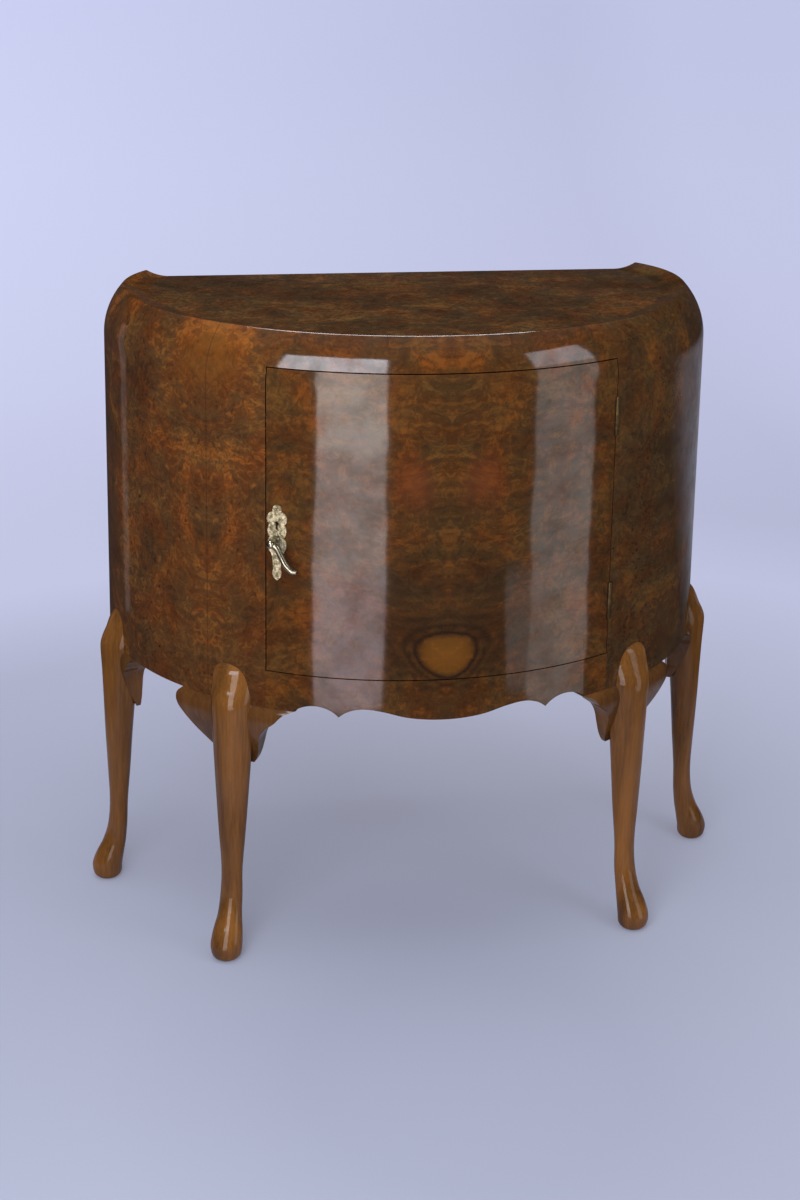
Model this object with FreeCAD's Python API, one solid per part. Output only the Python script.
"""Bow-fronted cellarette: a half-round walnut cabinet for bottles on four cabriole legs.

Millimetres. +X is the cabinet's right as you face it, +Y is towards the wall, +Z is up.
The origin is on the floor, under the centre of the cabinet's overall box.
"""
import FreeCAD, Part
import math
import os
from FreeCAD import Vector

os.makedirs("parts", exist_ok=True)

# ---------------------------------------------------------------- driving dimensions
# The body in plan: half an ellipse, two short round corners and a flat back.
BODY_WIDTH = 840.0
BODY_DEPTH = 457.0
BACK_RETURN = 95.0          # from the widest point back to the flat back
CORNER_RADIUS = 160.0
WALL = 20.0                 # curved walls, built up and veneered

# Heights above the floor.
BODY_BOTTOM = 347.0
TOP_HEIGHT = 828.0

# The rim: a cushion outside, a small round crest, and a cove down to the flat top.
CREST_RISE = 9.0            # the crest stands this far above the flat top
CUSHION_FALL = 67.0         # from the crest down to where the walls are upright
CREST_INSET = 28.0
CREST_RADIUS = 3.0
CREST_FLAT = 1.0
COVE_INSET = 62.0
RIM_LEDGE = 14.0            # how far the rebate reaches under the top board
TOP_THICKNESS = 18.0

# Door.
DOOR_HALF_WIDTH = 222.0
DOOR_RISE = 52.0            # its lower edge above the body's
DOOR_FALL = 43.0            # its upper edge below the crest
DOOR_GAP = 1.5
SEAM_OUTSIDE = 10.0         # seams in the bowed face, clear of the hinges' housings
SEAM_INSIDE = 30.0          # and of the lock's
STOP_GAP = 0.3
STOP_THICKNESS = 12.0
STOP_OVERLAP = 8.0
STOP_WIDTH = 26.0

# Apron: the rail under the door, with a shaped lower edge.
APRON_DROP = 3.0            # the middle hangs this far below the body's bottom edge
APRON_CUSP_X = 134.0
APRON_CUSP_RISE = -1.5
APRON_ARCH_RISE = 11.0
APRON_OUTER_PEAK_X = 164.0
APRON_OUTER_END_X = 190.0
APRON_SWAG = ((0.91, 0.70), (0.78, 1.0), (0.60, 0.82), (0.38, 0.30), (0.18, 0.06))  # shares of cusp and arch

# Boards inside.
BOTTOM_THICKNESS = 19.0
BACK_THICKNESS = 8.0
BACK_REBATE = 9.0           # how far the back is let into each wall
BACK_RAIL_HEIGHT = 45.0
BACK_RAIL_THICKNESS = 20.0
SHELF_THICKNESS = 14.0
SHELF_HEADROOM = 86.5       # from the shelf up to the top board
SHELF_SETBACK = 45.0
BEARER_HEIGHT = 16.0
BEARER_THICKNESS = 12.0
BEARER_FRONT_Y = -10.0
DIVIDER_THICKNESS = 8.0
DIVIDER_HEIGHT = 150.0
DIVIDER_PITCH = 118.0
DIVIDER_COUNT = 4
DIVIDER_FRONT_GAP = 26.0    # clear of the back of the door
LONG_DIVIDER_Y = 35.0

# Legs: angle round the ellipse of each pair, from the +X end.
FRONT_LEG_ANGLE = 51.0
BACK_LEG_ANGLE = 12.8
KNEE_LAP = 50.0             # how far the knee laps up the body
ANKLE_HEIGHT = 112.0
ANKLE_HALF = 14.0
ANKLE_FLATTEN = 0.9         # the ankle is this much shallower than it is wide
FOOT_HEIGHT = 17.0
FOOT_HALF = 21.5
FRONT_FOOT_KICK = 30.0      # how far the foot stands out, along the leg's own line
BACK_FOOT_KICK = 21.0
FRONT_LEG_TURN = 14.0       # the front legs face this much nearer to the front than the body does there
KNEE_BULGE = 23.5           # how far the knee stands out from the body
KNEE_HALF_WIDTH = 29.0
KNEE_HALF_DEPTH = 26.5
RIDGE_POWER = 1.8           # below 2 the section draws in to a ridge
LEG_SIDES = 12              # narrow flats left by the spokeshave
LEG_BLOCK_DEPTH = 40.0
LEG_BLOCK_HALF_WIDTH = 34.0

# Knee brackets.
EAR_LENGTH = 89.0           # from the leg's centre, on the sides
EAR_DEPTH = 78.0            # below the body, beside the leg
EAR_END_DEPTH = 24.0
SCROLL_LENGTH = 88.0        # from the front legs towards the apron
SIDE_SCROLL_LENGTH = 66.0   # from the back legs towards the front
SCROLL_DEPTH = 92.0
BRACKET_BULGE = 5.0
BRACKET_THICKNESS = 27.0

# Butt hinges.
HINGE_LENGTH = 50.0
HINGE_END_DISTANCE = 73.0   # from the door's end to the middle of the hinge
HINGE_LEAF_WIDTH = 16.0
HINGE_LEAF_THICKNESS = 1.5
KNUCKLE_RADIUS = 2.75
KNUCKLE_PROUD = 1.0         # the pin's axis stands this far outside the face
KNUCKLE_GAP = 0.2
PIN_RADIUS = 1.25
PIN_CLEARANCE = 0.05
GROOVE_CLEARANCE = 0.3

# Lock and lever. The lever's centre line stands above the door's lower edge, the rest above or below it.
PLATE_X = -209.0
LEVER_RISE = 178.0
PLATE_BELOW_LEVER = 55.0
PLATE_ABOVE_LEVER = 44.0
PLATE_HALF_WIDTH = 12.4
PLATE_THICKNESS = 1.6
KEY_ABOVE_LEVER = 20.0
KEY_HOLE_RADIUS = 2.6
KEY_SLOT_WIDTH = 2.6
KEY_SLOT_DEPTH = 8.0
CASE_FRONT_SKIN = 4.5       # door thickness left in front of the lock
CASE_THICKNESS = 11.0
CASE_DEPTH = 29.0
CASE_BELOW_LEVER = 9.0
CASE_ABOVE_LEVER = 37.0
CASE_WALL = 1.2
FACEPLATE_THICKNESS = 2.0
FACEPLATE_WIDTH = 15.0
FACEPLATE_MARGIN = 9.0
STRIKE_THICKNESS = 1.5
BOLT_THICKNESS = 6.0
BOLT_LENGTH = 24.0
BOLT_THROW = 8.0
BOLT_CLEARANCE = 0.2
LATCH_ABOVE_LEVER = 5.5
LATCH_HEIGHT = 6.5
LOCK_BOLT_ABOVE_KEY = 4.0
LOCK_BOLT_HEIGHT = 9.0
TALON_RADIUS = 4.0
KEY_PIN_RADIUS = 1.2
HUB_RADIUS = 5.2
HUB_THICKNESS = 5.0
CAM_REACH = 9.2
CAM_WIDTH = 3.0
CAM_SWING = 22.5            # degrees either side of upright
CAM_CLEARANCE = 0.35
SPINDLE_SIDE = 5.0
NECK_RADIUS = 4.0
NECK_CLEARANCE = 0.05
LEVER_STAND_OFF = 21.0
LEVER_ROOT_RADIUS = 5.2
LEVER_SIDES = 10
LEVER_BOSS_SHARE = 1.8      # the boss is this many of its radii long
LEVER_LEAN = 3.0            # the tip comes back towards the door by this much
LEVER_REACH = 32.0
LEVER_FALL = 35.0
PLATE_PIN_RADIUS = 1.3
PLATE_PIN_LENGTH = 3.0      # into the door, short of the lock case
PLATE_PIN_CLEARANCE = 0.05
PLATE_PIN_HEAD_RADIUS = 2.1
PLATE_PIN_HEAD_HEIGHT = 0.8
PLATE_PIN_INSET = 7.0

# ---------------------------------------------------------------- worked-out places
HALF_WIDTH = BODY_WIDTH / 2
BACK_Y = BODY_DEPTH / 2
BOW_CENTRE_Y = BACK_Y - BACK_RETURN
BOW_DEPTH = BODY_DEPTH - BACK_RETURN
CREST_HEIGHT = TOP_HEIGHT + CREST_RISE
CUSHION_START = CREST_HEIGHT - CUSHION_FALL
KNEE_TOP = BODY_BOTTOM + KNEE_LAP
DOOR_BOTTOM = BODY_BOTTOM + DOOR_RISE
DOOR_TOP = CREST_HEIGHT - DOOR_FALL
OPENING_TOP = DOOR_TOP + DOOR_GAP
OPENING_BOTTOM = DOOR_BOTTOM - DOOR_GAP
BOARD_UNDERSIDE = TOP_HEIGHT - TOP_THICKNESS
FLOOR_TOP = OPENING_BOTTOM
FLOOR_UNDERSIDE = FLOOR_TOP - BOTTOM_THICKNESS
BACK_FRONT_Y = BACK_Y - BACK_THICKNESS
SHELF_UNDERSIDE = BOARD_UNDERSIDE - SHELF_HEADROOM - SHELF_THICKNESS
LEVER_HEIGHT = DOOR_BOTTOM + LEVER_RISE
KEY_HEIGHT = LEVER_HEIGHT + KEY_ABOVE_LEVER
PLATE_BOTTOM = LEVER_HEIGHT - PLATE_BELOW_LEVER
PLATE_TOP = LEVER_HEIGHT + PLATE_ABOVE_LEVER
CASE_BOTTOM = LEVER_HEIGHT - CASE_BELOW_LEVER
CASE_TOP = LEVER_HEIGHT + CASE_ABOVE_LEVER
LATCH_BOTTOM = LEVER_HEIGHT + LATCH_ABOVE_LEVER
LOCK_BOLT_BOTTOM = KEY_HEIGHT + LOCK_BOLT_ABOVE_KEY
UP = Vector(0, 0, 1)
REACH = 120.0               # cutting tools run this far past what they cut
MIRRORED = (("left", -1), ("right", 1))


def save(shape, node):
    """Write one node's solids."""
    shape.exportStep("parts/" + node + ".step")


# ---------------------------------------------------------------- the body's plan
def bow_seams():
    """The turns, from the +X end, at which the bow is drawn in lengths: either side of the door's edges."""
    near = [math.acos((DOOR_HALF_WIDTH + across) / HALF_WIDTH) for across in (SEAM_OUTSIDE, -SEAM_INSIDE)]
    return [0] + near + [math.pi - turn for turn in reversed(near)] + [math.pi]


def bow_edges(half_width, depth, z):
    """The front half of the ellipse, from its +X end round to its -X end, with seams beside the housings."""
    centre = Vector(0, BOW_CENTRE_Y, z)
    side = centre + Vector(half_width, 0, 0)
    front = centre - Vector(0, depth, 0)
    if half_width >= depth:
        ellipse = Part.Ellipse(side, front, centre)
        start = 0
    else:
        ellipse = Part.Ellipse(front, centre - Vector(half_width, 0, 0), centre)
        start = -math.pi / 2
    seams = bow_seams()
    return [Part.Arc(ellipse, start + low, start + high).toShape() for low, high in zip(seams, seams[1:])]


def corner_edge(half_width, sign, z):
    """A back corner: an arc from the ellipse's end to the back, on side sign."""
    turn = math.asin(BACK_RETURN / CORNER_RADIUS)
    centre_x = half_width - CORNER_RADIUS

    def at(angle):
        x = centre_x + CORNER_RADIUS * math.cos(angle)
        return Vector(sign * x, BOW_CENTRE_Y + CORNER_RADIUS * math.sin(angle), z)

    return Part.Arc(at(0), at(turn / 2), at(turn)).toShape(), at(turn)


def plan_wire(inset, z, past=0.0):
    """The body's outline, inset all round, and run past the back by that much for a tool."""
    half_width = HALF_WIDTH - inset
    bow = bow_edges(half_width, BOW_DEPTH - inset, z)
    left, left_end = corner_edge(half_width, -1, z)
    right, right_end = corner_edge(half_width, 1, z)
    corners = [left_end, right_end]
    if past:
        beyond = Vector(0, past, 0)
        corners = [left_end, left_end + beyond, right_end + beyond, right_end]
    straights = [Part.makeLine(p, q) for p, q in zip(corners, corners[1:])]
    return Part.Wire(bow + [left] + straights + [right])


def plan_solid(inset, bottom, top, past=0.0):
    """The inset outline as an upright block."""
    face = Part.Face(plan_wire(inset, bottom, past))
    return face.extrude(Vector(0, 0, top - bottom))


def face_point(x):
    """The point of the body's outer face at x, in plan."""
    return Vector(x, BOW_CENTRE_Y - BOW_DEPTH * math.sqrt(1 - (x / HALF_WIDTH) ** 2), 0)


def face_normal(point):
    """The outward normal of the outer face at a point on it."""
    across = point.x / HALF_WIDTH ** 2
    along = (point.y - BOW_CENTRE_Y) / BOW_DEPTH ** 2
    return Vector(across, along, 0).normalize()


def face_at(angle):
    """The point of the outer face at an angle round the ellipse, in degrees from +X."""
    turn = math.radians(angle)
    return Vector(HALF_WIDTH * math.cos(turn), BOW_CENTRE_Y - BOW_DEPTH * math.sin(turn), 0)


def walk(angle, distance):
    """The angle reached by going that far along the face; positive runs towards the left."""
    turn = math.radians(angle)
    speed = math.hypot(HALF_WIDTH * math.sin(turn), BOW_DEPTH * math.cos(turn))
    middle = turn + distance / speed / 2
    speed = math.hypot(HALF_WIDTH * math.sin(middle), BOW_DEPTH * math.cos(middle))
    return angle + math.degrees(distance / speed)


def slab(bottom, top):
    """Everything between two heights."""
    size = BODY_WIDTH + 2 * REACH
    depth = BODY_DEPTH + 2 * REACH
    return Part.makeBox(size, depth, top - bottom, Vector(-size / 2, -depth / 2, bottom))


# ---------------------------------------------------------------- cushion, crest and cove
CREST_CENTRE_Z = CREST_HEIGHT - CREST_RADIUS
CUSHION_RISE = CREST_CENTRE_Z - CUSHION_START
CUSHION_RADIUS = ((CREST_INSET ** 2 + CUSHION_RISE ** 2 - CREST_RADIUS ** 2)
                  / (2 * (CREST_INSET - CREST_RADIUS)))
CREST_INNER = CREST_INSET + CREST_FLAT
COVE_WIDTH = COVE_INSET - CREST_INNER
COVE_RISE = CREST_CENTRE_Z - TOP_HEIGHT
COVE_RADIUS = ((COVE_WIDTH ** 2 + COVE_RISE ** 2 - CREST_RADIUS ** 2)
               / (2 * (COVE_RISE + CREST_RADIUS)))
CUSHION_STEPS = 6
CREST_STEPS = 2
COVE_STEPS = 4


def spread(first, last, steps):
    """steps + 1 even values from first to last."""
    return [first + (last - first) * k / steps for k in range(steps + 1)]


def cushion_profile():
    """(inset, height) up the cushion's arc and over the outer half of the crest."""
    turn = math.atan2(CUSHION_RISE, CUSHION_RADIUS - CREST_INSET)
    points = []
    for a in spread(0, turn, CUSHION_STEPS):
        inset = CUSHION_RADIUS * (1 - math.cos(a))
        points.append((inset, CUSHION_START + CUSHION_RADIUS * math.sin(a)))
    for a in spread(turn, math.pi / 2, CREST_STEPS)[1:]:
        inset = CREST_INSET - CREST_RADIUS * math.cos(a)
        points.append((inset, CREST_CENTRE_Z + CREST_RADIUS * math.sin(a)))
    return points


def cove_profile():
    """(inset, height) from the flat top up the cove's arc to the inner side of the crest."""
    turn = math.atan2(COVE_WIDTH, COVE_RADIUS - COVE_RISE)
    points = []
    for a in spread(0, turn, COVE_STEPS):
        inset = COVE_INSET - COVE_RADIUS * math.sin(a)
        points.append((inset, TOP_HEIGHT + COVE_RADIUS * (1 - math.cos(a))))
    for a in spread(turn, 0, CREST_STEPS)[1:]:
        inset = CREST_INNER + CREST_RADIUS * math.sin(a)
        points.append((inset, CREST_CENTRE_Z + CREST_RADIUS * math.cos(a)))
    return points


def loft_plans(profile, past=0.0):
    """A solid through the body's outline at each (inset, height), in narrow ruled bands."""
    return Part.makeLoft([plan_wire(inset, z, past) for inset, z in profile], True, True)


def body_form():
    """The outside of the whole body: upright walls and the cushion above them."""
    upright = plan_solid(0, BODY_BOTTOM - APRON_DROP, CUSHION_START)
    return upright.fuse(loft_plans(cushion_profile()))


# ---------------------------------------------------------------- local frames on the door
class Station:
    """A place on the face: x runs along it to the left, y straight out of it, z up."""

    def __init__(self, point):
        self.point = point
        self.outward = face_normal(point)
        self.along = self.outward.cross(UP)
        angle = math.degrees(math.atan2(self.along.y, self.along.x))
        self.placement = FreeCAD.Placement(point, FreeCAD.Rotation(UP, angle))

    def place(self, shape):
        """Move a shape from this station's own axes into the cabinet's."""
        moved = shape.copy()
        moved.Placement = self.placement.multiply(moved.Placement)
        return moved

    def box(self, x0, x1, y0, y1, z0, z1):
        """A box between those limits, in the cabinet's axes."""
        return self.place(Part.makeBox(x1 - x0, y1 - y0, z1 - z0, Vector(x0, y0, z0)))

    def rod(self, radius, y0, y1, x, z):
        """A round bar that runs straight out of the face."""
        return self.place(Part.makeCylinder(radius, y1 - y0, Vector(x, y0, z), Vector(0, 1, 0)))

    def upright(self, radius, x, y, z0, z1):
        """A round bar that stands up."""
        return self.place(Part.makeCylinder(radius, z1 - z0, Vector(x, y, z0)))


LOCK = Station(face_point(PLATE_X))
LOCK_EDGE = (face_point(-DOOR_HALF_WIDTH) - LOCK.point).dot(LOCK.along)
HINGE = Station(face_point(DOOR_HALF_WIDTH))
HINGE_MIDDLE_X = -DOOR_GAP / 2  # the pin stands in the middle of the gap


def door_sector(gap):
    """The wedge in plan between the door's two edges, each moved out by gap."""
    lock_edge = LOCK.point + LOCK.along * (LOCK_EDGE + gap)
    hinge_edge = HINGE.point - HINGE.along * gap
    corners = [lock_edge + LOCK.outward * REACH, lock_edge - LOCK.outward * (REACH / 2),
               hinge_edge - HINGE.outward * (REACH / 2), hinge_edge + HINGE.outward * REACH]
    wire = Part.makePolygon(corners + corners[:1])
    return Part.Face(wire).extrude(UP * (CREST_HEIGHT + REACH))


# ---------------------------------------------------------------- carcase
def wall_ring(form, bottom, top):
    """The curved wall between two heights, all the way round to the back."""
    ring = form.common(slab(bottom, top))
    return ring.cut(plan_solid(WALL, bottom - 1, top + 1, REACH))


def back_blank():
    """The space of the thin back, let into the walls."""
    half = corner_edge(HALF_WIDTH - WALL, 1, 0)[1].x + BACK_REBATE
    height = BOARD_UNDERSIDE - FLOOR_UNDERSIDE
    return Part.makeBox(2 * half, BACK_THICKNESS, height, Vector(-half, BACK_FRONT_Y, FLOOR_UNDERSIDE))


def side_walls(form):
    """The two curved walls, either side of the door and the apron."""
    walls = wall_ring(form, BODY_BOTTOM, OPENING_TOP).cut(door_sector(DOOR_GAP))
    walls = walls.cut(back_blank())
    walls = walls.cut(lock_keep_pocket()).cut(hinge_pockets(-1))
    solids = sorted(walls.Solids, key=lambda s: s.CenterOfMass.x)
    return {"side_left": solids[0], "side_right": solids[-1]}


def apron_tool():
    """The space under the apron's shaped edge, as a block that runs front to back."""
    cusp_z = BODY_BOTTOM + APRON_CUSP_RISE
    arch_z = BODY_BOTTOM + APRON_ARCH_RISE
    low_z = BODY_BOTTOM - APRON_DROP
    half_edge = [(APRON_CUSP_X, cusp_z)]
    for across, rise in APRON_SWAG:
        half_edge.append((APRON_CUSP_X * across, low_z + rise * (arch_z - low_z)))

    def at(x, z):
        return Vector(x, BOW_CENTRE_Y, z)

    points = [at(-x, z) for x, z in half_edge] + [at(0, low_z)] + [at(x, z) for x, z in reversed(half_edge)]
    swag = Part.BSplineCurve()
    swag.interpolate(points)
    edges = [swag.toShape()]
    far = APRON_OUTER_END_X + REACH
    for sign in (-1, 1):
        end = at(sign * APRON_OUTER_END_X, BODY_BOTTOM)
        peak = at(sign * APRON_OUTER_PEAK_X, arch_z)
        edges.append(Part.Arc(at(sign * APRON_CUSP_X, cusp_z), peak, end).toShape())
        edges.append(Part.makeLine(end, at(sign * far, BODY_BOTTOM)))
        edges.append(Part.makeLine(at(sign * far, BODY_BOTTOM), at(sign * far, BODY_BOTTOM - REACH)))
    edges.append(Part.makeLine(at(-far, BODY_BOTTOM - REACH), at(far, BODY_BOTTOM - REACH)))
    face = Part.Face(Part.Wire(Part.__sortEdges__(edges)))
    return face.extrude(Vector(0, -BOW_DEPTH - REACH, 0))


def apron_rail(form):
    """The bowed rail under the door."""
    rail = wall_ring(form, BODY_BOTTOM - APRON_DROP, OPENING_BOTTOM).common(door_sector(DOOR_GAP))
    return rail.cut(apron_tool())


def top_rim(form):
    """The moulded rim: cushion outside, crest, cove inside, and a rebate for the top board."""
    rim = form.common(slab(OPENING_TOP, CREST_HEIGHT + 1))
    profile = cove_profile()
    rim = rim.cut(loft_plans(profile, REACH))
    rim = rim.cut(plan_solid(profile[-1][0], CREST_HEIGHT, CREST_HEIGHT + REACH, REACH))
    rim = rim.cut(plan_solid(COVE_INSET, BOARD_UNDERSIDE, TOP_HEIGHT, REACH))
    return rim.cut(plan_solid(COVE_INSET + RIM_LEDGE, OPENING_TOP - 1, BOARD_UNDERSIDE, REACH))


def top_board():
    """The flat top, let into the rim."""
    return plan_solid(COVE_INSET, BOARD_UNDERSIDE, TOP_HEIGHT)


def inner_board(bottom, top):
    """A board that fills the cabinet between its walls and the back."""
    board = plan_solid(WALL, bottom, top)
    behind = Part.makeBox(BODY_WIDTH, REACH, top - bottom, Vector(-HALF_WIDTH, BACK_FRONT_Y, bottom))
    return board.cut(behind)


def back_rail(rim):
    """The rail under the back edge of the top."""
    bottom = BOARD_UNDERSIDE - BACK_RAIL_HEIGHT
    rail = inner_board(bottom, BOARD_UNDERSIDE)
    depth = BODY_DEPTH + REACH
    front = BACK_FRONT_Y - BACK_RAIL_THICKNESS
    ahead = Part.makeBox(BODY_WIDTH, depth, BACK_RAIL_HEIGHT, Vector(-HALF_WIDTH, front - depth, bottom))
    return rail.cut(ahead).cut(rim)


def door_stop():
    """A curved batten on the left wall that the door closes against."""
    ring = plan_solid(WALL, OPENING_BOTTOM, OPENING_TOP, REACH)
    ring = ring.cut(plan_solid(WALL + STOP_THICKNESS, OPENING_BOTTOM, OPENING_TOP, REACH))
    start = LOCK_EDGE - STOP_OVERLAP
    window = LOCK.box(start, start + STOP_WIDTH, -REACH, 0, OPENING_BOTTOM, OPENING_TOP)
    return ring.common(window)


def shelf():
    """A bowed shelf, set back from the door."""
    board = inner_board(SHELF_UNDERSIDE, SHELF_UNDERSIDE + SHELF_THICKNESS)
    behind = plan_solid(WALL, SHELF_UNDERSIDE - 1, SHELF_UNDERSIDE + SHELF_THICKNESS + 1, REACH)
    behind.translate(Vector(0, SHELF_SETBACK, 0))
    return board.common(behind)


def shelf_bearer(sign):
    """A curved batten that carries one end of the shelf."""
    top = SHELF_UNDERSIDE
    ring = inner_board(top - BEARER_HEIGHT, top)
    ring = ring.cut(plan_solid(WALL + BEARER_THICKNESS, top - BEARER_HEIGHT, top, REACH))
    length = BACK_FRONT_Y - BEARER_FRONT_Y
    corner = Vector(0 if sign > 0 else -HALF_WIDTH, BEARER_FRONT_Y, top - BEARER_HEIGHT)
    return ring.common(Part.makeBox(HALF_WIDTH, length, BEARER_HEIGHT, corner))


def long_divider_board():
    """The bottle divider's long board, before its slots."""
    board = inner_board(FLOOR_TOP, FLOOR_TOP + DIVIDER_HEIGHT)
    box = Part.makeBox(BODY_WIDTH, DIVIDER_THICKNESS, DIVIDER_HEIGHT,
                       Vector(-HALF_WIDTH, LONG_DIVIDER_Y - DIVIDER_THICKNESS / 2, FLOOR_TOP))
    return board.common(box)


def cross_divider_places():
    """The cross boards' x positions, evenly spaced about the middle."""
    first = -DIVIDER_PITCH * (DIVIDER_COUNT - 1) / 2
    return [first + DIVIDER_PITCH * k for k in range(DIVIDER_COUNT)]


def cross_divider_board(x):
    """A cross board, before its slot, from the back up to a gap behind the door."""
    inside = plan_solid(WALL + DIVIDER_FRONT_GAP, FLOOR_TOP, FLOOR_TOP + DIVIDER_HEIGHT, REACH)
    inside = inside.common(inner_board(FLOOR_TOP, FLOOR_TOP + DIVIDER_HEIGHT))
    box = Part.makeBox(DIVIDER_THICKNESS, BODY_DEPTH, DIVIDER_HEIGHT,
                       Vector(x - DIVIDER_THICKNESS / 2, -BACK_Y, FLOOR_TOP))
    return inside.common(box)


def divider_slot(x, bottom, top):
    """The halving between a cross board and the long board."""
    half = DIVIDER_THICKNESS / 2
    return Part.makeBox(DIVIDER_THICKNESS, DIVIDER_THICKNESS, top - bottom,
                        Vector(x - half, LONG_DIVIDER_Y - half, bottom))


def bottle_dividers():
    """The cross-lapped boards that keep the bottles apart."""
    middle = FLOOR_TOP + DIVIDER_HEIGHT / 2
    top = FLOOR_TOP + DIVIDER_HEIGHT
    long_board = long_divider_board()
    boards = {}
    for number, x in enumerate(cross_divider_places(), 1):
        long_board = long_board.cut(divider_slot(x, middle, top))
        cross = cross_divider_board(x).cut(divider_slot(x, FLOOR_TOP, middle))
        boards["bottle_divider_cross_%d" % number] = cross
    boards["bottle_divider_long"] = long_board
    return boards


# ---------------------------------------------------------------- legs and brackets
def leg_stations(kick):
    """(height, outward offset, half depth, half width, power) up the leg, from the face's line."""
    knee_offset = KNEE_BULGE - KNEE_HALF_DEPTH
    rise = BODY_BOTTOM - ANKLE_HEIGHT
    tongue = KNEE_TOP - BODY_BOTTOM
    ankle_depth = ANKLE_HALF * ANKLE_FLATTEN

    def foot(height, out, size):
        return (FOOT_HEIGHT * height, kick * out, FOOT_HALF * size, FOOT_HALF * size, 2.0)

    def calf(share, offset, power):
        half_depth = ankle_depth + (KNEE_HALF_DEPTH - ankle_depth) * share
        half_width = ANKLE_HALF + (KNEE_HALF_WIDTH - ANKLE_HALF) * (share * 1.12 - share ** 3 * 0.12)
        return (ANKLE_HEIGHT + rise * share, offset, half_depth, half_width, power)

    def lap(share, sink, depth, width, power):
        return (BODY_BOTTOM + tongue * share, knee_offset - sink * KNEE_HALF_DEPTH,
                KNEE_HALF_DEPTH * depth, KNEE_HALF_WIDTH * width, power)

    return [
        foot(0, 0.95, 0.64), foot(0.10, 0.96, 0.78), foot(0.35, 0.98, 0.93), foot(1.0, 1.0, 1.0),
        foot(1.5, 0.92, 0.985), foot(2.1, 0.77, 0.92), foot(3.1, 0.48, 0.77),
        (FOOT_HEIGHT * 4.5, kick * 0.24, ankle_depth * 1.06, ANKLE_HALF * 1.05, 2.0),
        (ANKLE_HEIGHT, kick * 0.13, ankle_depth, ANKLE_HALF, 2.0),
        calf(0.22, kick * 0.06, 2.0), calf(0.44, kick * 0.02, 1.95), calf(0.66, knee_offset * 0.4, 1.9),
        calf(0.85, knee_offset * 0.8, 1.85), lap(0, 0, 1.0, 1.0, RIDGE_POWER), lap(0.22, 0.05, 0.95, 1.0, RIDGE_POWER),
        lap(0.45, 0.15, 0.83, 0.98, 1.85), lap(0.66, 0.18, 0.70, 0.94, 1.9), lap(0.83, 0.19, 0.56, 0.85, 1.9),
        lap(0.95, 0.21, 0.40, 0.67, 2.0), lap(1.0, 0.23, 0.31, 0.50, 2.0),
    ]


def leg_section(root, outward, row):
    """One level section of a leg: round, or drawn in to a ridge at the knee."""
    height, offset, half_depth, half_width, power = row
    along = outward.cross(UP)
    points = []
    for k in range(LEG_SIDES):
        a = 2 * math.pi * k / LEG_SIDES
        out = math.copysign(abs(math.cos(a)) ** (2 / power), math.cos(a)) * half_depth
        side = math.copysign(abs(math.sin(a)) ** (2 / power), math.sin(a)) * half_width
        points.append(root + outward * (offset + out) + along * side + UP * height)
    return Part.makePolygon(points + points[:1])


def leg(angle, kick, turn):
    """A cabriole leg whose knee laps up the face of the body, turned that much from facing straight out."""
    root = face_at(angle)
    outward = FreeCAD.Rotation(UP, turn).multVec(face_normal(root))
    sections = [leg_section(root, outward, row) for row in leg_stations(kick)]
    form = Part.makeLoft(sections, True, True)
    return form.cut(plan_solid(0, BODY_BOTTOM, KNEE_TOP + REACH))


def leg_block(angle):
    """The block inside the body that the leg is glued and screwed to."""
    place = Station(face_at(angle))
    ring = plan_solid(WALL, BODY_BOTTOM, FLOOR_UNDERSIDE)
    inner = plan_solid(WALL + LEG_BLOCK_DEPTH, BODY_BOTTOM, FLOOR_UNDERSIDE, REACH)
    window = place.box(-LEG_BLOCK_HALF_WIDTH, LEG_BLOCK_HALF_WIDTH, -REACH, 0, BODY_BOTTOM, FLOOR_UNDERSIDE)
    return ring.cut(inner).common(window)


def bracket_ring():
    """The bulging moulding that all the brackets are sawn from."""
    top = BODY_BOTTOM
    bulge = BRACKET_BULGE
    depth = SCROLL_DEPTH
    profile = [(1.0, top), (-bulge * 0.75, top - depth * 0.08), (-bulge, top - depth * 0.20),
               (-bulge * 0.70, top - depth * 0.33), (bulge * 0.30, top - depth * 0.52),
               (bulge * 1.80, top - depth * 0.71), (BRACKET_THICKNESS * 0.80, top - depth)]
    return loft_plans(profile, REACH).cut(plan_solid(BRACKET_THICKNESS, top - depth - 1, top + 1, 2 * REACH))


def ear_outline():
    """(distance from the leg's centre, depth) round the bold bracket's end and underside."""
    return [(EAR_LENGTH * 0.90, 0), (EAR_LENGTH * 0.98, EAR_END_DEPTH * 0.27), (EAR_LENGTH, EAR_END_DEPTH * 0.58),
            (EAR_LENGTH * 0.97, EAR_END_DEPTH), (EAR_LENGTH * 0.85, EAR_DEPTH * 0.47),
            (EAR_LENGTH * 0.70, EAR_DEPTH * 0.65), (EAR_LENGTH * 0.55, EAR_DEPTH * 0.83),
            (EAR_LENGTH * 0.40, EAR_DEPTH), (EAR_LENGTH * 0.22, EAR_DEPTH * 1.15), (0, EAR_DEPTH * 1.24)]


def scroll_outline(length):
    """(distance from the leg's centre, depth) under the bracket that sweeps up into the body's edge."""
    return [(length, 0), (length * 0.83, SCROLL_DEPTH * 0.07), (length * 0.70, SCROLL_DEPTH * 0.20),
            (length * 0.535, SCROLL_DEPTH * 0.33), (length * 0.445, SCROLL_DEPTH * 0.48),
            (length * 0.40, SCROLL_DEPTH * 0.65), (length * 0.35, SCROLL_DEPTH * 0.87),
            (length * 0.31, SCROLL_DEPTH * 1.02), (0, SCROLL_DEPTH * 1.15)]


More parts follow.
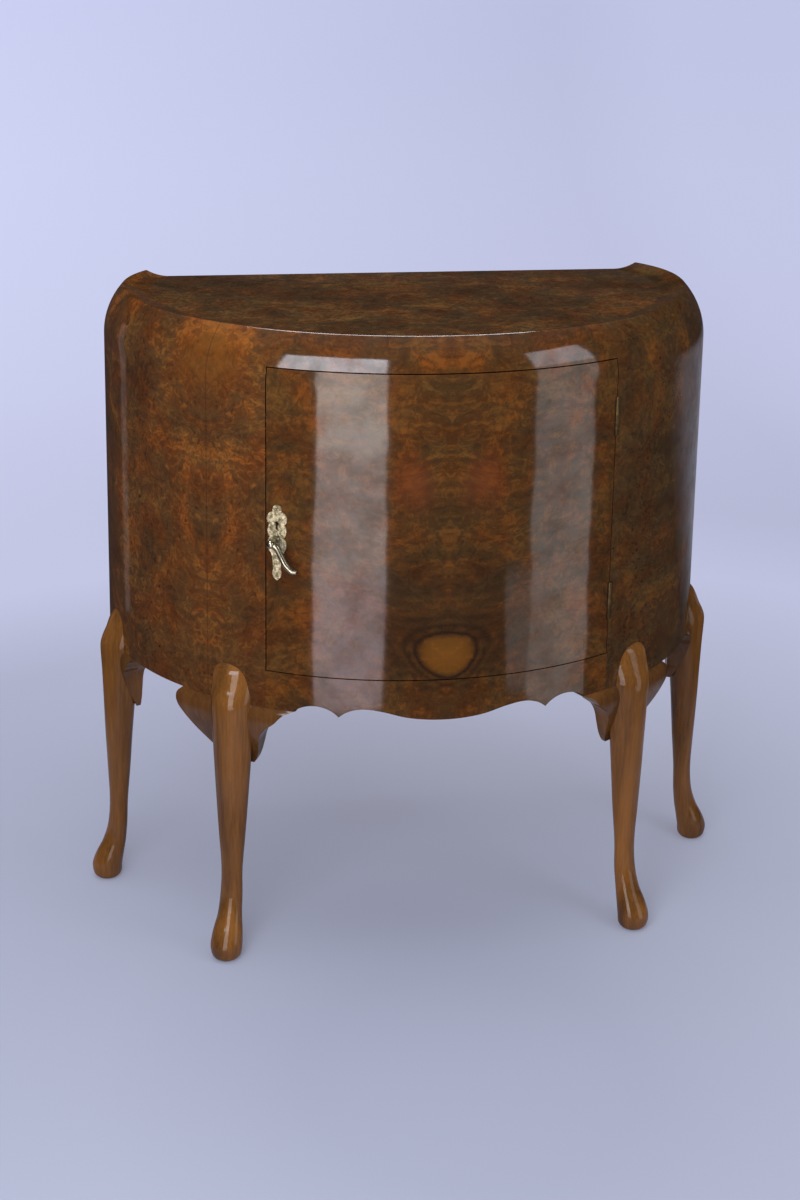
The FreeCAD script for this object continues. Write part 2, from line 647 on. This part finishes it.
def bracket(angle, direction, outline, ring, leg_solid):
    """A bracket sawn from the ring, from the leg's centre to the outline's end."""
    length = outline[0][0]
    middle = Station(face_at(walk(angle, direction * length / 2)))
    low = BODY_BOTTOM

    def at(distance, depth):
        return Vector(direction * (distance - length / 2), -REACH, low - depth)

    corners = [at(0, 0)] + [at(distance, depth) for distance, depth in outline]
    board = middle.place(Part.Face(Part.makePolygon(corners + corners[:1])).extrude(Vector(0, 2 * REACH, 0)))
    ends = sorted((0, direction * (length + REACH)))
    own_side = Station(face_at(angle)).box(ends[0], ends[1], -REACH, REACH, low - REACH, low)
    piece = ring.common(board).common(own_side).cut(leg_solid)
    return max(piece.Solids, key=lambda solid: solid.Volume)


# ---------------------------------------------------------------- door
def door_panel(form):
    """The bowed door, with its housings for hinges, lock and lever."""
    inner = plan_solid(WALL - STOP_GAP, DOOR_BOTTOM - 1, DOOR_TOP + 1, REACH)
    panel = form.common(slab(DOOR_BOTTOM, DOOR_TOP)).common(door_sector(0)).cut(inner)
    panel = panel.cut(hinge_pockets(1))
    panel = panel.cut(case_block(0)).cut(faceplate_block())
    panel = panel.cut(LOCK.rod(NECK_RADIUS + BOLT_CLEARANCE, -CASE_FRONT_SKIN - 1, 1, 0, LEVER_HEIGHT))
    for z in plate_pin_heights():
        panel = panel.cut(LOCK.rod(PLATE_PIN_RADIUS + PLATE_PIN_CLEARANCE, -PLATE_PIN_LENGTH, 1, 0, z))
    return panel.cut(key_hole(-CASE_FRONT_SKIN - 1, 2))


# ---------------------------------------------------------------- hinges
HINGE_HEIGHTS = {"lower": DOOR_BOTTOM + HINGE_END_DISTANCE, "upper": DOOR_TOP - HINGE_END_DISTANCE}
LEAF_OUTER_Y = KNUCKLE_PROUD - KNUCKLE_RADIUS - GROOVE_CLEARANCE


def leaf_box(side, y0, y1, bottom, top):
    """A piece of a leaf, 1.5 thick in one edge: side 1 is the door's, side -1 the wall's."""
    near = HINGE_MIDDLE_X + side * DOOR_GAP / 2
    far = near + side * HINGE_LEAF_THICKNESS
    return HINGE.box(min(near, far), max(near, far), y0, y1, bottom, top)


def knuckle(radius, bottom, top):
    """A round bar on the hinge's axis."""
    return HINGE.upright(radius, HINGE_MIDDLE_X, KNUCKLE_PROUD, bottom, top)


def hinge_pockets(side):
    """What both hinges take out of one edge: a groove for the knuckles and a bed for the leaf."""
    tools = []
    for middle in HINGE_HEIGHTS.values():
        bottom = middle - HINGE_LENGTH / 2
        top = bottom + HINGE_LENGTH
        tools.append(knuckle(KNUCKLE_RADIUS + GROOVE_CLEARANCE, bottom - GROOVE_CLEARANCE, top + GROOVE_CLEARANCE))
        tools.append(leaf_box(side, -HINGE_LEAF_WIDTH, KNUCKLE_PROUD, bottom, top))
    return tools[0].multiFuse(tools[1:])


def knuckle_spans(side, bottom):
    """(bottom, top) of the knuckles of one leaf: the door has the middle one of three."""
    third = HINGE_LENGTH / 3
    half_gap = KNUCKLE_GAP / 2
    if side > 0:
        return [(bottom + third + half_gap, bottom + 2 * third - half_gap)]
    return [(bottom, bottom + third - half_gap), (bottom + 2 * third + half_gap, bottom + HINGE_LENGTH)]


def hinge_leaf(side, middle):
    """One leaf with its knuckles, drilled for the pin."""
    bottom = middle - HINGE_LENGTH / 2
    leaf = leaf_box(side, -HINGE_LEAF_WIDTH, LEAF_OUTER_Y, bottom, bottom + HINGE_LENGTH)
    for low, high in knuckle_spans(side, bottom):
        leaf = leaf.fuse(leaf_box(side, LEAF_OUTER_Y, KNUCKLE_PROUD, low, high))
        leaf = leaf.fuse(knuckle(KNUCKLE_RADIUS, low, high))
    bore = PIN_RADIUS + (PIN_CLEARANCE if side > 0 else 0)
    leaf = leaf.cut(knuckle(bore, bottom - 1, bottom + HINGE_LENGTH + 1))
    return leaf.removeSplitter()


def hinge_pin(middle):
    """The pin, held in the wall leaf's knuckles."""
    return knuckle(PIN_RADIUS, middle - HINGE_LENGTH / 2, middle + HINGE_LENGTH / 2)


# ---------------------------------------------------------------- lock
CASE_FRONT_Y = -CASE_FRONT_SKIN
CASE_BACK_Y = CASE_FRONT_Y - CASE_THICKNESS
CASE_NOSE_X = LOCK_EDGE - FACEPLATE_THICKNESS
CASE_TAIL_X = CASE_NOSE_X - CASE_DEPTH
CASE_MIDDLE_Y = (CASE_FRONT_Y + CASE_BACK_Y) / 2
BOLT_FRONT_Y = CASE_MIDDLE_Y + BOLT_THICKNESS / 2
BOLT_BACK_Y = CASE_MIDDLE_Y - BOLT_THICKNESS / 2


def case_block(shrink):
    """The lock case's outside, or its inside when shrunk by the case's wall."""
    return LOCK.box(CASE_TAIL_X + shrink, CASE_NOSE_X, CASE_BACK_Y + shrink, CASE_FRONT_Y - shrink,
                    CASE_BOTTOM + shrink, CASE_TOP - shrink)


def faceplate_block():
    """The lock's front plate, flush with the door's edge."""
    return LOCK.box(CASE_NOSE_X, LOCK_EDGE, CASE_MIDDLE_Y - FACEPLATE_WIDTH / 2,
                    CASE_MIDDLE_Y + FACEPLATE_WIDTH / 2,
                    CASE_BOTTOM - FACEPLATE_MARGIN, CASE_TOP + FACEPLATE_MARGIN)


def key_hole(y0, y1):
    """The keyhole's shape as a cutter: a round eye over a slot."""
    eye = LOCK.rod(KEY_HOLE_RADIUS, y0, y1, 0, KEY_HEIGHT)
    slot = LOCK.box(-KEY_SLOT_WIDTH / 2, KEY_SLOT_WIDTH / 2, y0, y1, KEY_HEIGHT - KEY_SLOT_DEPTH, KEY_HEIGHT)
    return eye.fuse(slot)


def lock_case():
    """The hollow case, with the pin that a pipe key turns on."""
    case = case_block(0).cut(case_block(CASE_WALL))
    case = case.cut(LOCK.rod(HUB_RADIUS - 1, CASE_FRONT_Y - CASE_WALL - 1, CASE_FRONT_Y + 1, 0, LEVER_HEIGHT))
    case = case.cut(key_hole(CASE_FRONT_Y - CASE_WALL - 1, CASE_FRONT_Y + 1))
    return case.fuse(LOCK.rod(KEY_PIN_RADIUS, CASE_BACK_Y + CASE_WALL, CASE_FRONT_Y, 0, KEY_HEIGHT))


def bolt_bar(bottom, height, x_front, clearance):
    """A bolt's straight bar, or the window for it when clearance is given."""
    return LOCK.box(x_front - BOLT_LENGTH, x_front, BOLT_BACK_Y - clearance, BOLT_FRONT_Y + clearance,
                    bottom - clearance, bottom + height + clearance)


def bolt_windows(x_front):
    """The windows for both bolts, ending at x_front."""
    latch = bolt_bar(LATCH_BOTTOM, LATCH_HEIGHT, x_front, BOLT_CLEARANCE)
    return latch.fuse(bolt_bar(LOCK_BOLT_BOTTOM, LOCK_BOLT_HEIGHT, x_front, BOLT_CLEARANCE))


def lock_faceplate():
    """The plate on the door's edge that the bolts slide through."""
    return faceplate_block().cut(bolt_windows(LOCK_EDGE + 1))


def latch_bolt():
    """The latch bolt, drawn back, with the notch that the cam works in."""
    bar = bolt_bar(LATCH_BOTTOM, LATCH_HEIGHT, LOCK_EDGE, 0)
    swing = math.radians(CAM_SWING)
    half = CAM_WIDTH / 2 / math.cos(swing) + CAM_CLEARANCE
    lean = (LATCH_BOTTOM - LEVER_HEIGHT) * math.tan(swing)
    notch = LOCK.box(lean - BOLT_THROW - half, half - lean, BOLT_BACK_Y - 1, BOLT_FRONT_Y + 1,
                     LATCH_BOTTOM - 1, LEVER_HEIGHT + CAM_REACH + CAM_CLEARANCE)
    return bar.cut(notch)


def lock_bolt():
    """The key's bolt, drawn back, with the talon that the key pushes."""
    bar = bolt_bar(LOCK_BOLT_BOTTOM, LOCK_BOLT_HEIGHT, LOCK_EDGE, 0)
    return bar.cut(LOCK.rod(TALON_RADIUS, BOLT_BACK_Y - 1, BOLT_FRONT_Y + 1, 0, LOCK_BOLT_BOTTOM - 1))


def latch_cam():
    """The hub on the spindle and the finger that moves the latch bolt."""
    back = CASE_MIDDLE_Y - HUB_THICKNESS / 2
    front = CASE_MIDDLE_Y + HUB_THICKNESS / 2
    hub = Part.makeCylinder(HUB_RADIUS, HUB_THICKNESS, Vector(0, back, 0), Vector(0, 1, 0))
    arm = Part.makeBox(CAM_WIDTH, HUB_THICKNESS, CAM_REACH - CAM_WIDTH / 2, Vector(-CAM_WIDTH / 2, back, 0))
    nose = Part.makeCylinder(CAM_WIDTH / 2, HUB_THICKNESS, Vector(0, back, CAM_REACH - CAM_WIDTH / 2),
                             Vector(0, 1, 0))
    finger = arm.fuse(nose)
    finger.rotate(Vector(0, 0, 0), Vector(0, 1, 0), -CAM_SWING)
    cam = hub.fuse(finger)
    half = SPINDLE_SIDE / 2
    cam = cam.cut(Part.makeBox(SPINDLE_SIDE, front - back, SPINDLE_SIDE, Vector(-half, back, -half)))
    cam.translate(UP * LEVER_HEIGHT)
    return LOCK.place(cam)


def spindle():
    """The square bar from the lever into the cam."""
    half = SPINDLE_SIDE / 2
    back = CASE_MIDDLE_Y - HUB_THICKNESS / 2
    return LOCK.box(-half, half, back, LEVER_STAND_OFF - LEVER_ROOT_RADIUS,
                    LEVER_HEIGHT - half, LEVER_HEIGHT + half)


def strike_block(thickness):
    """The keep on the wall's edge, opposite the bolts."""
    start = LOCK_EDGE + DOOR_GAP
    return LOCK.box(start, start + thickness, CASE_MIDDLE_Y - FACEPLATE_WIDTH / 2,
                    CASE_MIDDLE_Y + FACEPLATE_WIDTH / 2,
                    CASE_BOTTOM - FACEPLATE_MARGIN, CASE_TOP + FACEPLATE_MARGIN)


def strike_plate():
    """The keep, with a window for each bolt."""
    return strike_block(STRIKE_THICKNESS).cut(bolt_windows(LOCK_EDGE + BOLT_THROW + DOOR_GAP))


def lock_keep_pocket():
    """What the keep and the thrown bolts take out of the wall's edge."""
    return strike_block(STRIKE_THICKNESS).fuse(bolt_windows(LOCK_EDGE + BOLT_THROW + DOOR_GAP))


def plate_outline():
    """(across, height) down one side of the plate: the cusps, and the swell between each pair."""
    tall = PLATE_TOP - PLATE_BOTTOM
    w = PLATE_HALF_WIDTH
    cusps = [(0, 0), (w * 0.42, 0.09), (w * 0.80, 0.26), (w * 0.78, 0.43), (w * 0.62, 0.64), (w * 0.40, 0.86), (0, 1.0)]
    swells = [(w * 0.34, 0.02), (w * 0.98, 0.14), (w, 0.345), (w, 0.52), (w * 0.46, 0.74), (w * 0.34, 0.96)]
    drop = [(across, PLATE_TOP - tall * share) for across, share in cusps]
    swell = [(across, PLATE_TOP - tall * share) for across, share in swells]
    return drop, swell


def lock_plate():
    """The brass plate on the face: a scalloped leaf, with holes for the lever, the key and its pins."""
    cusps, swells = plate_outline()
    edges = []
    for sign in (-1, 1):
        for start, middle, end in zip(cusps, swells, cusps[1:]):
            points = [Vector(sign * across, 0, z) for across, z in (start, middle, end)]
            edges.append(Part.Arc(*points).toShape())
    plate = Part.Face(Part.Wire(Part.__sortEdges__(edges))).extrude(Vector(0, PLATE_THICKNESS, 0))
    plate = LOCK.place(plate).cut(LOCK.rod(NECK_RADIUS + NECK_CLEARANCE, -1, REACH, 0, LEVER_HEIGHT))
    for z in plate_pin_heights():
        plate = plate.cut(LOCK.rod(PLATE_PIN_RADIUS + PLATE_PIN_CLEARANCE, -1, REACH, 0, z))
    return plate.cut(key_hole(-1, REACH))


def plate_pin_heights():
    """The heights of the two pins that hold the lock plate."""
    return (PLATE_BOTTOM + PLATE_PIN_INSET, PLATE_TOP - PLATE_PIN_INSET)


def lever_path():
    """The lever's S curve as (place, radius): across to the right, out of the face, and down."""
    shape = [(0.0, 0.0, 0.80), (0.22, 0.13, 0.70), (0.40, 0.46, 0.60), (0.57, 0.76, 0.62),
             (0.80, 0.96, 0.60), (1.0, 1.0, 0.42)]
    rows = []
    for across, fall, size in shape:
        place = Vector(-across * LEVER_REACH, LEVER_STAND_OFF - LEVER_LEAN * fall, LEVER_HEIGHT - fall * LEVER_FALL)
        rows.append((place, size * LEVER_ROOT_RADIUS))
    return rows


def lever_section(place, heading, radius):
    """A section of the lever, square to its curve."""
    first = heading.cross(Vector(0, 1, 0)).normalize()
    second = heading.cross(first).normalize()
    points = []
    for k in range(LEVER_SIDES):
        a = 2 * math.pi * k / LEVER_SIDES
        points.append(place + first * (radius * math.cos(a)) + second * (radius * math.sin(a)))
    return Part.makePolygon(points + points[:1])


def lever_handle():
    """The lever: a round neck, a boss and a drooping S-shaped arm."""
    rows = lever_path()
    path = Part.BSplineCurve()
    path.interpolate([place for place, radius in rows])
    rings = []
    for place, radius in rows:
        rings.append(lever_section(place, path.tangent(path.parameter(place))[0], radius))
    arm = Part.makeLoft(rings, True, False)
    centre = Vector(0, 0, LEVER_HEIGHT)
    out = Vector(0, 1, 0)
    neck = Part.makeCylinder(NECK_RADIUS, LEVER_STAND_OFF - LEVER_ROOT_RADIUS, centre, out)
    boss_start = centre + out * (LEVER_STAND_OFF - LEVER_ROOT_RADIUS)
    boss = Part.makeCylinder(LEVER_ROOT_RADIUS, LEVER_BOSS_SHARE * LEVER_ROOT_RADIUS, boss_start, out)
    dome_start = boss_start + out * (LEVER_BOSS_SHARE * LEVER_ROOT_RADIUS)
    dome = Part.makeCone(LEVER_ROOT_RADIUS, 0.4 * LEVER_ROOT_RADIUS, 0.5 * LEVER_ROOT_RADIUS, dome_start, out)
    return LOCK.place(neck.fuse([boss, dome, arm])).cut(spindle())


def plate_pins():
    """The flat-headed pins that hold the lock plate."""
    pins = []
    for z in plate_pin_heights():
        shank = LOCK.rod(PLATE_PIN_RADIUS, -PLATE_PIN_LENGTH, PLATE_THICKNESS, 0, z)
        head = LOCK.rod(PLATE_PIN_HEAD_RADIUS, PLATE_THICKNESS, PLATE_THICKNESS + PLATE_PIN_HEAD_HEIGHT, 0, z)
        pins.append(shank.fuse(head))
    return pins


# ---------------------------------------------------------------- build
def build():
    """Every node by name."""
    form = body_form()
    rim = top_rim(form)
    ring = bracket_ring()
    nodes = {
        "top_rim": rim,
        "top_board": top_board(),
        "apron_rail": apron_rail(form),
        "bottom_board": inner_board(FLOOR_UNDERSIDE, FLOOR_TOP),
        "back_panel": back_blank().cut(rim),
        "back_rail": back_rail(rim),
        "door_stop": door_stop(),
        "shelf": shelf(),
        "door_panel": door_panel(form),
        "lock_case": lock_case(),
        "lock_faceplate": lock_faceplate(),
        "lock_bolt": lock_bolt(),
        "latch_bolt": latch_bolt(),
        "latch_cam": latch_cam(),
        "spindle": spindle(),
        "lever_handle": lever_handle(),
        "lock_plate": lock_plate(),
        "plate_pins": Part.makeCompound(plate_pins()),
        "strike_plate": strike_plate(),
    }
    nodes.update(side_walls(form))
    nodes.update(bottle_dividers())
    for side, sign in MIRRORED:
        nodes["shelf_bearer_" + side] = shelf_bearer(sign)
    blocks = []
    pairs = (("front", FRONT_LEG_ANGLE, FRONT_FOOT_KICK, FRONT_LEG_TURN, SCROLL_LENGTH),
             ("back", BACK_LEG_ANGLE, BACK_FOOT_KICK, 0, SIDE_SCROLL_LENGTH))
    for place, half_angle, kick, turn, reach in pairs:
        for side, sign in MIRRORED:
            angle = half_angle if sign > 0 else 180 - half_angle
            name = place + "_" + side
            shape = leg(angle, kick, -sign * turn)
            nodes["leg_" + name] = shape
            blocks.append(leg_block(angle))
            nodes["bracket_" + name + "_ahead"] = bracket(angle, sign, scroll_outline(reach), ring, shape)
            nodes["bracket_" + name + "_behind"] = bracket(angle, -sign, ear_outline(), ring, shape)
    nodes["leg_blocks"] = Part.makeCompound(blocks)
    middles = HINGE_HEIGHTS.values()
    nodes["hinge_pins"] = Part.makeCompound([hinge_pin(middle) for middle in middles])
    for body, side in (("door", 1), ("wall", -1)):
        nodes["hinge_leaves_" + body] = Part.makeCompound([hinge_leaf(side, middle) for middle in middles])
    return nodes


for node, shape in build().items():
    save(shape, node)
    print("%-28s solids %d  volume %.1f cm3" % (node, len(shape.Solids), shape.Volume / 1000))
